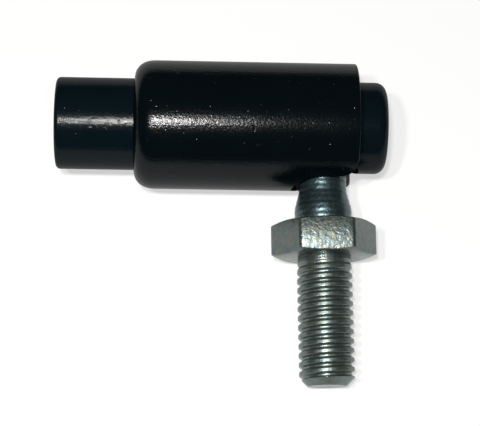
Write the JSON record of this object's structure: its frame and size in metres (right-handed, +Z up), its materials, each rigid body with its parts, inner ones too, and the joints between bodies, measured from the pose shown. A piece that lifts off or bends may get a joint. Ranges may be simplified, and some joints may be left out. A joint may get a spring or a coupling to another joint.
{
  "type": "angle ball joint",
  "caption": "Quick-release angle ball joint: a sprung black sleeve locks the zinc-plated ball stud, with hexagon and threaded shank, square to a threaded rod socket.",
  "frame": {"origin": "centre of the part's bounding box at the surface that it lies on", "axes": "+X along the barrel from the rod thread to the ball end, -Y the way the stud points, +Z up from the surface that it lies on"},
  "size_m": [0.0358, 0.0353, 0.014],
  "materials": {
    "black_steel": "semi-gloss black coating",
    "spring_steel": "drawn spring steel",
    "zinc_plated_steel": "bright zinc plating"
  },
  "bodies": {
    "socket": {"socket_body": "black_steel", "stop_ring": "spring_steel", "sleeve_spring": "spring_steel"},
    "sleeve": {"lock_sleeve": "black_steel"},
    "stud": {"ball_stud": "zinc_plated_steel"}
  },
  "joints": [
    {"name": "sleeve_slide", "type": "slide", "parent": "socket", "child": "sleeve", "axis": [-1, 0, 0], "range_m": [0, 0.008], "stiffness_N_per_m": 1480, "springref_m": -0.002, "deforming": ["sleeve_spring"]},
    {"name": "stud_spin", "type": "hinge", "parent": "socket", "child": "stud", "pos_m": [0.01095, 0.00917, 0.00678], "axis": [0.0244, -0.9894, -0.1434], "continuous": true}
  ]
}
